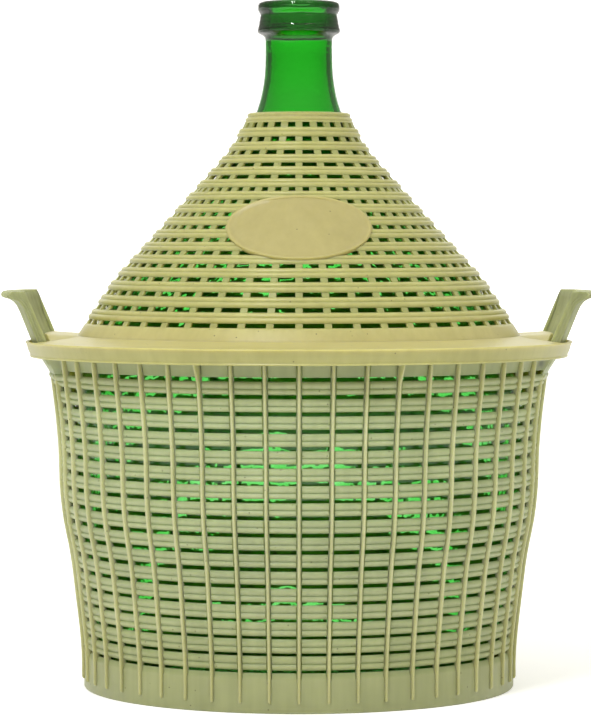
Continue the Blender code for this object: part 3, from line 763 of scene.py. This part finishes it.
def finish_rings(angle, height):
    """Fine uneven rings that the mould left round the finish: two sines, 2.9 and 1.9 mm apart."""
    turn = np.radians(angle)
    one = np.sin(2 * np.pi * height / 2.9 + 1.2 * np.sin(3 * turn) + 0.7 * np.sin(8 * turn + 1))
    two = np.sin(2 * np.pi * height / 1.9 + 1.5 * np.sin(2 * turn + 2) + 0.8 * np.sin(11 * turn))
    return (0.6 * one + 0.4 * two) * ease(446, 449, height) * (1 - ease(466, 468, height))


def bottle():
    """The glass: its outside, the raised middle of its foot, and the inside up to the mouth.

    Both faces of the body are a little wavy, each with its own pattern.
    """
    outside = bottle_line()
    body = outside[outside[:, 1] < BODY_TOP]
    thick = np.interp(ease(*WALL_CHANGE, body[:, 1]), (0, 1), GLASS_WALLS)
    inside = offset_line(body, thick[:, None])[::-1]
    rise = np.linspace(0, 1, 9)[1:, None]
    punt = outside[-1] * (1 - rise)
    punt[:, 1] = GLASS_SEAT + PUNT_RISE * np.sin(np.pi / 2 * rise[:, 0])
    lining = (punt + (0, GLASS_WALLS[0]))[::-1]
    heights = np.arange(445, 464, 0.6)
    bore = np.stack([np.full(len(heights), BORE_RADIUS), heights], -1)
    line = np.concatenate([outside, punt, lining[:-1], inside[1:], bore, MOUTH_LINE])
    angles = ROUND[None]
    radius, height = line[:, :1], line[:, 1:]
    outer = np.arange(len(line))[:, None] < len(outside)
    wave = np.where(outer, waves(radius, angles, height, 3), waves(radius, angles, height, 8))
    radius = radius + np.where(outer, 0.25, 0.4) * wave
    radius = radius + np.where(outer, 0.1, 0.08) * finish_rings(angles, height)
    return closed_grid(round_about(radius, angles, height), loop=True)


# Materials

def linear(colour):
    """An sRGB hex colour as the linear values that Blender uses."""
    value = np.array([int(colour[i:i + 2], 16) for i in (1, 3, 5)]) / 255
    low, high = value / 12.92, ((value + 0.055) / 1.055) ** 2.4
    return (*np.where(value <= 0.04045, low, high), 1.0)


def add(tree, kind, inputs=None, **settings):
    """A node with its settings, and with a value or a link on each input, by name or number."""
    node = tree.nodes.new(kind)
    for name, value in settings.items():
        setattr(node, name, value)
    for name, value in (inputs or {}).items():
        if isinstance(value, bpy.types.NodeSocket):
            tree.links.new(value, node.inputs[name])
        else:
            node.inputs[name].default_value = value
    return node


def empty_material(name):
    """A material without nodes, and its node tree."""
    material = bpy.data.materials.new(name)
    material.use_nodes = True
    material.node_tree.nodes.clear()
    return material, material.node_tree


def moulded_plastic(name, dark, light, tints, matt):
    """Injection-moulded polypropylene, years old: satin, slightly blotched, with dirt specks.

    Broad soft blotches 40 mm across and flow marks that run up and down break the colour up. A
    fine pitting 1.2 mm across breaks the highlights, and the specks are about 0.8 mm wide. The
    tints change the colour with the height; on the basket they are painted shade at the foot and
    under the cover's skirt. The light goes a few millimetres into the plastic, so thin walls glow
    from behind. The shade_and_dirt attribute paints shade, with some dirt, into the hollows and
    beside the slots, and makes them darker and greener.
    """
    material, tree = empty_material(name)
    place = add(tree, "ShaderNodeTexCoord").outputs["Object"]
    blotch = add(tree, "ShaderNodeTexNoise", {
        "Vector": place, "Scale": 1 / (BLOTCH * MM), "Detail": 3.0, "Roughness": 0.55,
    }).outputs["Fac"]
    stretch = add(tree, "ShaderNodeMapping", {
        "Vector": place, "Scale": [1 / (size * MM) for size in FLOW],
    }).outputs[0]
    flow = add(tree, "ShaderNodeTexNoise", {
        "Vector": stretch, "Scale": 1.0, "Detail": 2.0,
    }).outputs["Fac"]
    tone = add(tree, "ShaderNodeMath", {0: blotch, 1: flow}, operation="ADD").outputs[0]
    ramp = add(tree, "ShaderNodeMapRange", {
        "Value": tone, "From Min": 0.7, "From Max": 1.3,
    }).outputs[0]
    # A mix node's inputs 6 and 7 and its output 2 are colours
    plain = add(tree, "ShaderNodeMix", {
        0: ramp, 6: linear(dark), 7: linear(light),
    }, data_type="RGBA").outputs[2]
    height = add(tree, "ShaderNodeSeparateXYZ", {"Vector": place}).outputs["Z"]
    share = add(tree, "ShaderNodeMapRange", {
        "Value": height, "From Max": BOTTLE_TOP * MM,
    }).outputs[0]
    tint = add(tree, "ShaderNodeValToRGB", {"Fac": share})
    stops = tint.color_ramp.elements
    while len(stops) < len(tints):
        stops.new(1.0)
    for stop, (at, colour) in zip(stops, tints):
        stop.position = at / BOTTLE_TOP
        stop.color = (*colour, 1)
    # the tint by height; on the basket it is painted shade at the foot and under the cover's skirt
    height_tinted = add(tree, "ShaderNodeMix", {
        0: 1.0, 6: plain, 7: tint.outputs[0],
    }, data_type="RGBA", blend_type="MULTIPLY").outputs[2]
    # painted shade, with some dirt, in the hollows and beside the slots
    shade_and_dirt = add(tree, "ShaderNodeAttribute", attribute_name="shade_and_dirt").outputs["Fac"]
    shaded_and_dirty = add(tree, "ShaderNodeMix", {
        0: shade_and_dirt, 6: height_tinted, 7: SHADE_AND_DIRT_TINT,
    }, data_type="RGBA", blend_type="MULTIPLY").outputs[2]
    distance = add(tree, "ShaderNodeTexVoronoi", {
        "Vector": place, "Scale": 1 / (SPECK_SPACING * MM), "Randomness": 1.0,
    }).outputs["Distance"]
    speck = add(tree, "ShaderNodeMapRange", {
        "Value": distance, "From Min": SPECK_EDGE[0], "From Max": SPECK_EDGE[1],
        "To Min": 0.8, "To Max": 0.0,
    }).outputs[0]
    spotted = add(tree, "ShaderNodeMix", {
        0: speck, 6: shaded_and_dirty, 7: linear(SPECK_COLOUR),
    }, data_type="RGBA").outputs[2]
    pits = add(tree, "ShaderNodeTexNoise", {
        "Vector": place, "Scale": 1 / (PIT * MM), "Detail": 2.0,
    }).outputs["Fac"]
    bump = add(tree, "ShaderNodeBump", {"Height": pits, "Strength": 0.12, "Distance": 0.2 * MM})
    rough = add(tree, "ShaderNodeMapRange", {
        "Value": flow, "To Min": matt - 0.08, "To Max": matt + 0.1,
    })
    shader = add(tree, "ShaderNodeBsdfPrincipled", {
        "Base Color": spotted, "Roughness": rough.outputs[0], "Normal": bump.outputs[0],
        "IOR": 1.49, "Subsurface Weight": 0.8, "Subsurface Radius": (1.0, 1.0, 0.6),
        "Subsurface Scale": LIGHT_DEPTH * MM,
    })
    add(tree, "ShaderNodeOutputMaterial", {"Surface": shader.outputs[0]})
    return material


def bottle_glass():
    """Soda-lime glass, blown and coloured bottle green in the melt.

    The colour comes from the light's way through the glass, so the walls' edges, where the way is
    long, are nearly black. A waviness from blowing, 14 mm across, bends the reflections.
    """
    material, tree = empty_material("green_soda_lime_glass_blown")
    place = add(tree, "ShaderNodeTexCoord").outputs["Object"]
    ripple = add(tree, "ShaderNodeTexNoise", {
        "Vector": place, "Scale": 1 / (RIPPLE * MM), "Detail": 2.0,
    }).outputs["Fac"]
    bump = add(tree, "ShaderNodeBump", {"Height": ripple, "Strength": 0.16, "Distance": 2 * MM})
    shader = add(tree, "ShaderNodeBsdfPrincipled", {
        "Base Color": (1, 1, 1, 1), "Roughness": 0.02, "IOR": 1.47, "Transmission Weight": 1.0,
        "Normal": bump.outputs[0],
    })
    depth = add(tree, "ShaderNodeVolumeAbsorption", {
        "Color": (0.01, 0.80, 0.03, 1), "Density": 790.0,
    })
    add(tree, "ShaderNodeOutputMaterial", {
        "Surface": shader.outputs[0], "Volume": depth.outputs[0],
    })
    return material


def studio_white(name, glow, everywhere):
    """Matt white paper, with a light of its own so that it is white behind the object.

    The backdrop glows everywhere. On the floor only the camera, gloss and glass see the glow, so
    that the floor keeps the object's shadow.
    """
    material, tree = empty_material(name)
    strength = glow
    if not everywhere:
        strength = add(tree, "ShaderNodeMath", {
            0: seen_directly(tree), 1: glow,
        }, operation="MULTIPLY").outputs[0]
    shader = add(tree, "ShaderNodeBsdfPrincipled", {
        "Base Color": (0.9, 0.9, 0.9, 1), "Roughness": 1.0, "Specular IOR Level": 0.0,
        "Emission Color": (1, 1, 1, 1), "Emission Strength": strength,
    })
    add(tree, "ShaderNodeOutputMaterial", {"Surface": shader.outputs[0]})
    return material


def seen_directly(tree):
    """1 where the camera looks at a place, also by a reflection or through glass, and else 0."""
    path = add(tree, "ShaderNodeLightPath").outputs
    seen = path["Is Camera Ray"]
    for ray in ("Is Glossy Ray", "Is Transmission Ray"):
        seen = add(tree, "ShaderNodeMath", {0: seen, 1: path[ray]}, operation="MAXIMUM").outputs[0]
    return seen


# Studio

def stage(name, half, line, material):
    """A white sheet: a line of points (y, height) carried along X, half its width each way."""
    sides = np.array([-half, half])
    line = np.array(line, float)
    points = np.stack(np.broadcast_arrays(sides[None], line[:, :1], line[:, 1:]), -1).reshape(-1, 3)
    index = np.arange(len(points)).reshape(len(line), 2)
    mesh = bpy.data.meshes.new(name)
    mesh.from_pydata((points * MM).tolist(), [], cells(index)[:, ::-1].tolist())
    mesh.shade_smooth()
    mesh.materials.append(material)
    sheet = bpy.data.objects.new(name, mesh)
    bpy.context.scene.collection.objects.link(sheet)


def room():
    """A wide floor, and a backdrop that curves up from it."""
    turn = np.radians(np.linspace(0, 90, 13))
    start, radius = BACKDROP_BEND
    bend = np.stack([start + radius * np.sin(turn), radius - radius * np.cos(turn)], -1)
    floor = studio_white("studio_floor_paper", FLOOR_GLOW, everywhere=False)
    backdrop = studio_white("studio_backdrop_paper", BACKDROP_GLOW, everywhere=True)
    stage("studio_floor", FLOOR_REACH, [(-FLOOR_REACH, 0), (FLOOR_REACH, 0)], floor)
    stage("studio_backdrop", BACKDROP_HALF, [*bend, (start + radius, BACKDROP_TOP)], backdrop)


def soft_light(name, place, size, power, colour):
    """A square lamp that looks at the object's middle. Its place and size are in metres."""
    data = bpy.data.lights.new(name, "AREA")
    data.color = colour
    data.shape = "SQUARE"
    data.size = size
    data.energy = power
    lamp = bpy.data.objects.new(name, data)
    lamp.location = place
    lamp.rotation_euler = (Vector(LAMP_AIM) - Vector(place)).to_track_quat("-Z", "Y").to_euler()
    bpy.context.scene.collection.objects.link(lamp)


def lights():
    """A soft lamp high in front on the left, a much weaker one on the right, and the room's light.

    The room is pale overhead and dim towards its walls, so the glass mirrors little of it.
    """
    soft_light("key_light", (-0.88, -2.2, 3.0), size=0.7, power=49, colour=(1.0, 1.0, 1.0))
    soft_light("fill_light", (1.3, -2.0, 2.8), size=0.9, power=4, colour=(1.0, 0.96, 0.8))
    world = bpy.data.worlds.new("room")
    world.use_nodes = True
    tree = world.node_tree
    tree.nodes.clear()
    way = add(tree, "ShaderNodeTexCoord").outputs["Generated"]
    up = add(tree, "ShaderNodeSeparateXYZ", {"Vector": way}).outputs["Z"]
    pale = add(tree, "ShaderNodeMapRange", {
        "Value": up, "To Min": WALL_LIGHT, "To Max": CEILING_LIGHT,
    }).outputs[0]
    back = add(tree, "ShaderNodeBackground", {"Color": (*ROOM_COLOUR, 1), "Strength": pale})
    add(tree, "ShaderNodeOutputWorld", {"Surface": back.outputs[0]})
    bpy.context.scene.world = world


def camera():
    """The photograph's view: from the front, far away, looking slightly down."""
    data = bpy.data.cameras.new("photo_camera")
    data.sensor_width = SENSOR
    data.lens = FOCAL_PIXELS / PHOTO_HEIGHT * SENSOR
    data.clip_end = 100  # metres, past the floor's far edge
    view = bpy.data.objects.new("photo_camera", data)
    view.location = Vector((CAMERA_SIDE, -CAMERA_DISTANCE, CAMERA_HEIGHT)) * MM
    view.rotation_euler = (np.radians(90 - CAMERA_PITCH), 0, 0)
    bpy.context.scene.collection.objects.link(view)
    bpy.context.scene.camera = view


tub_plastic = moulded_plastic(
    "basket_polypropylene_moulded", "#B4BC91", "#C3CB9E", BASKET_SHADE_TINTS, matt=0.45)
# the ribs are beiger than the bands, and painted paler as a highlight along their rounded fronts
rib_plastic_painted_highlight = moulded_plastic(
    "rib_polypropylene_beige_painted_highlight", "#C0C296", "#D0D1A4", BASKET_SHADE_TINTS, matt=0.36)
# the handles are darker than the basket
handle_plastic = moulded_plastic(
    "handle_polypropylene_darker", "#93996B", "#B5BC8B", NO_TINTS, matt=0.65)
cover_plastic = moulded_plastic(
    "cover_polypropylene_moulded", "#BEB978", "#CAC584", COVER_TINTS, matt=0.36)
plate_plastic = moulded_plastic(
    "plate_polypropylene_moulded", "#B4AB70", "#BDB478", NO_TINTS, matt=0.36)
glass = bottle_glass()

make("tub_wall", tub_wall(), "basket", tub_plastic, "lower_basket")
make("tub_ribs", tub_ribs(), "basket", rib_plastic_painted_highlight)
make("tub_rim", tub_rim(), "basket", tub_plastic)
make("tub_floor", tub_floor(), "basket", tub_plastic)
make("handle_right", handle(), "basket", handle_plastic)
make("handle_left", mirrored(handle()), "basket", handle_plastic)
make("cover_cone", cover_cone(), "cover", cover_plastic, "upper_cover")
make("cover_flange", cover_flange(), "cover", cover_plastic)
make("slot_lip_right", slot_lip(), "cover", cover_plastic)
make("slot_lip_left", mirrored(slot_lip()), "cover", cover_plastic)
make("oval_plate", oval_plate(), "cover", plate_plastic)
make("bottle_glass", bottle(), "bottle", glass, "glass_bottle")

room()
lights()
camera()
bpy.context.scene.view_settings.view_transform = "Standard"
